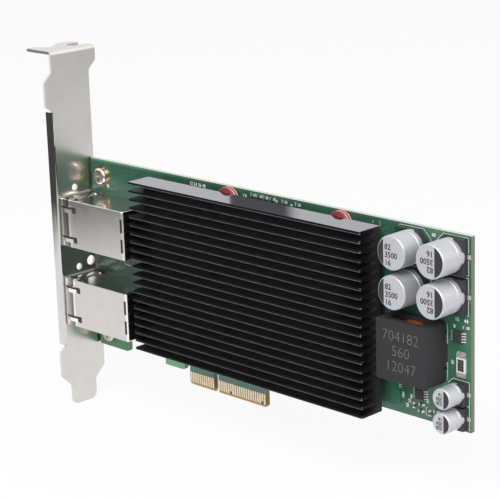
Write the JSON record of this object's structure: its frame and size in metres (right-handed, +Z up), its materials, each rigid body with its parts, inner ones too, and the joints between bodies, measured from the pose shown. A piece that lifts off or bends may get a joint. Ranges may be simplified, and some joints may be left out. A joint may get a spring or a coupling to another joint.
{
  "type": "network interface card",
  "caption": "Server expansion card with shielded network jacks, a black finned heatsink, a short edge connector and a full-height plated bracket.",
  "frame": {"origin": "middle of the edge connector's key notch, in the board's mid-plane, at the connector's lower edge", "axes": "+X along the board, away from the bracket, -Y out of the component side, +Z up from the edge connector to the bracket's screw tab"},
  "size_m": [0.1722, 0.0215, 0.12],
  "materials": {
    "circuit_board": "green solder mask over glass-fibre laminate",
    "gold": "gold plating over copper",
    "bracket_steel": "satin nickel plating",
    "screw_steel": "bright nickel plating",
    "shield_steel": "satin nickel plating",
    "black_plastic": "black moulding compound",
    "clear_plastic": "clear, slightly milky",
    "black_anodised": "black anodised extrusion",
    "thermal_pad": "grey silicone",
    "chip_plastic": "dark grey moulding compound",
    "ring_core": "dark coated ferrite",
    "enamelled_wire": "red enamelled copper wire",
    "can_aluminium": "plain drawn aluminium with a printed face",
    "ferrite": "dark grey pressed ferrite",
    "copper": "enamelled flat copper wire",
    "tin": "dull tin plating",
    "alumina": "white alumina",
    "chip_ceramic": "tan ceramic",
    "resistor_glaze": "black glaze"
  },
  "bodies": {
    "root": {"board": "circuit_board", "bracket": "bracket_steel", "bracket_screws": "screw_steel", "capacitor_1_base": "black_plastic", "capacitor_1_can": "can_aluminium", "capacitor_2_base": "black_plastic", "capacitor_2_can": "can_aluminium", "capacitor_3_base": "black_plastic", "capacitor_3_can": "can_aluminium", "capacitor_4_base": "black_plastic", "capacitor_4_can": "can_aluminium", "capacitor_feet": "tin", "ceramic_capacitors": "chip_ceramic", "chip_ends": "tin", "chip_resistors": "resistor_glaze", "choke_1_core": "ring_core", "choke_1_winding": "enamelled_wire", "choke_2_core": "ring_core", "choke_2_winding": "enamelled_wire", "controller_chip": "chip_plastic", "edge_contacts_back": "gold", "edge_contacts_front": "gold", "flash_chip": "chip_plastic", "flash_chip_leads": "tin", "heatsink": "black_anodised", "heatsink_screws": "screw_steel", "heatsink_studs": "screw_steel", "inductor_coil": "copper", "inductor_core": "ferrite", "inductor_terminals": "tin", "jack_lower_contacts": "gold", "jack_lower_housing": "black_plastic", "jack_lower_light_pipes": "clear_plastic", "jack_lower_magnetics": "black_plastic", "jack_lower_shield": "shield_steel", "jack_pins": "tin", "jack_upper_contacts": "gold", "jack_upper_housing": "black_plastic", "jack_upper_light_pipes": "clear_plastic", "jack_upper_magnetics": "black_plastic", "jack_upper_shield": "shield_steel", "plated_rings": "gold", "regulator_chip": "chip_plastic", "regulator_chip_leads": "tin", "sense_chip": "chip_plastic", "sense_chip_leads": "tin", "shunt_body": "alumina", "shunt_coating": "chip_plastic", "shunt_ends": "tin", "small_capacitor_1_base": "black_plastic", "small_capacitor_1_can": "can_aluminium", "small_capacitor_2_base": "black_plastic", "small_capacitor_2_can": "can_aluminium", "thermal_pad": "thermal_pad"}
  },
  "joints": []
}
